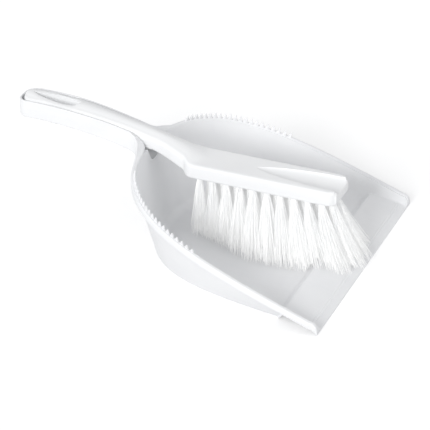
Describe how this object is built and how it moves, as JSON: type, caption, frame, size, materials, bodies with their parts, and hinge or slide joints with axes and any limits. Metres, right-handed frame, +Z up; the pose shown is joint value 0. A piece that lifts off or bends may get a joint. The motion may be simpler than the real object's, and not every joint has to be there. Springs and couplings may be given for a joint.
{
  "type": "dust pan and brush set",
  "caption": "Dust pan with flared walls, sloping flanged rim, comb teeth, entry ramp and trough handle, with a tufted hand brush stored in the trough; both handles share a hanging slot.",
  "frame": {"origin": "centre of the whole set's bounding box, on the floor the pan's base stands on", "axes": "+Y from the pan's mouth back along the handles, +Z up, +X across the pan, to the right when looking along +Y"},
  "size_m": [0.226, 0.312, 0.1011],
  "materials": {
    "pan_plastic": "satin white injection-moulded polypropylene",
    "brush_plastic": "satin white injection-moulded polypropylene",
    "bristle": "fine translucent white nylon filament"
  },
  "bodies": {
    "pan": {"pan": "pan_plastic"},
    "brush": {"brush_body": "brush_plastic", "tuft_row1_01": "bristle", "tuft_row1_02": "bristle", "tuft_row1_03": "bristle", "tuft_row1_04": "bristle", "tuft_row1_05": "bristle", "tuft_row1_06": "bristle", "tuft_row1_07": "bristle", "tuft_row1_08": "bristle", "tuft_row1_09": "bristle", "tuft_row1_10": "bristle", "tuft_row2_01": "bristle", "tuft_row2_02": "bristle", "tuft_row2_03": "bristle", "tuft_row2_04": "bristle", "tuft_row2_05": "bristle", "tuft_row2_06": "bristle", "tuft_row2_07": "bristle", "tuft_row2_08": "bristle", "tuft_row2_09": "bristle", "tuft_row2_10": "bristle", "tuft_row3_01": "bristle", "tuft_row3_02": "bristle", "tuft_row3_03": "bristle", "tuft_row3_04": "bristle", "tuft_row3_05": "bristle", "tuft_row3_06": "bristle", "tuft_row3_07": "bristle", "tuft_row3_08": "bristle", "tuft_row3_09": "bristle", "tuft_row3_10": "bristle", "tuft_row4_01": "bristle", "tuft_row4_02": "bristle", "tuft_row4_03": "bristle", "tuft_row4_04": "bristle", "tuft_row4_05": "bristle", "tuft_row4_06": "bristle", "tuft_row4_07": "bristle", "tuft_row4_08": "bristle", "tuft_row4_09": "bristle", "tuft_row4_10": "bristle"}
  },
  "joints": [
    {"name": "brush_lift", "type": "slide", "parent": "pan", "child": "brush", "axis": [0, 0, 1], "range_m": [0, 0.13]}
  ]
}
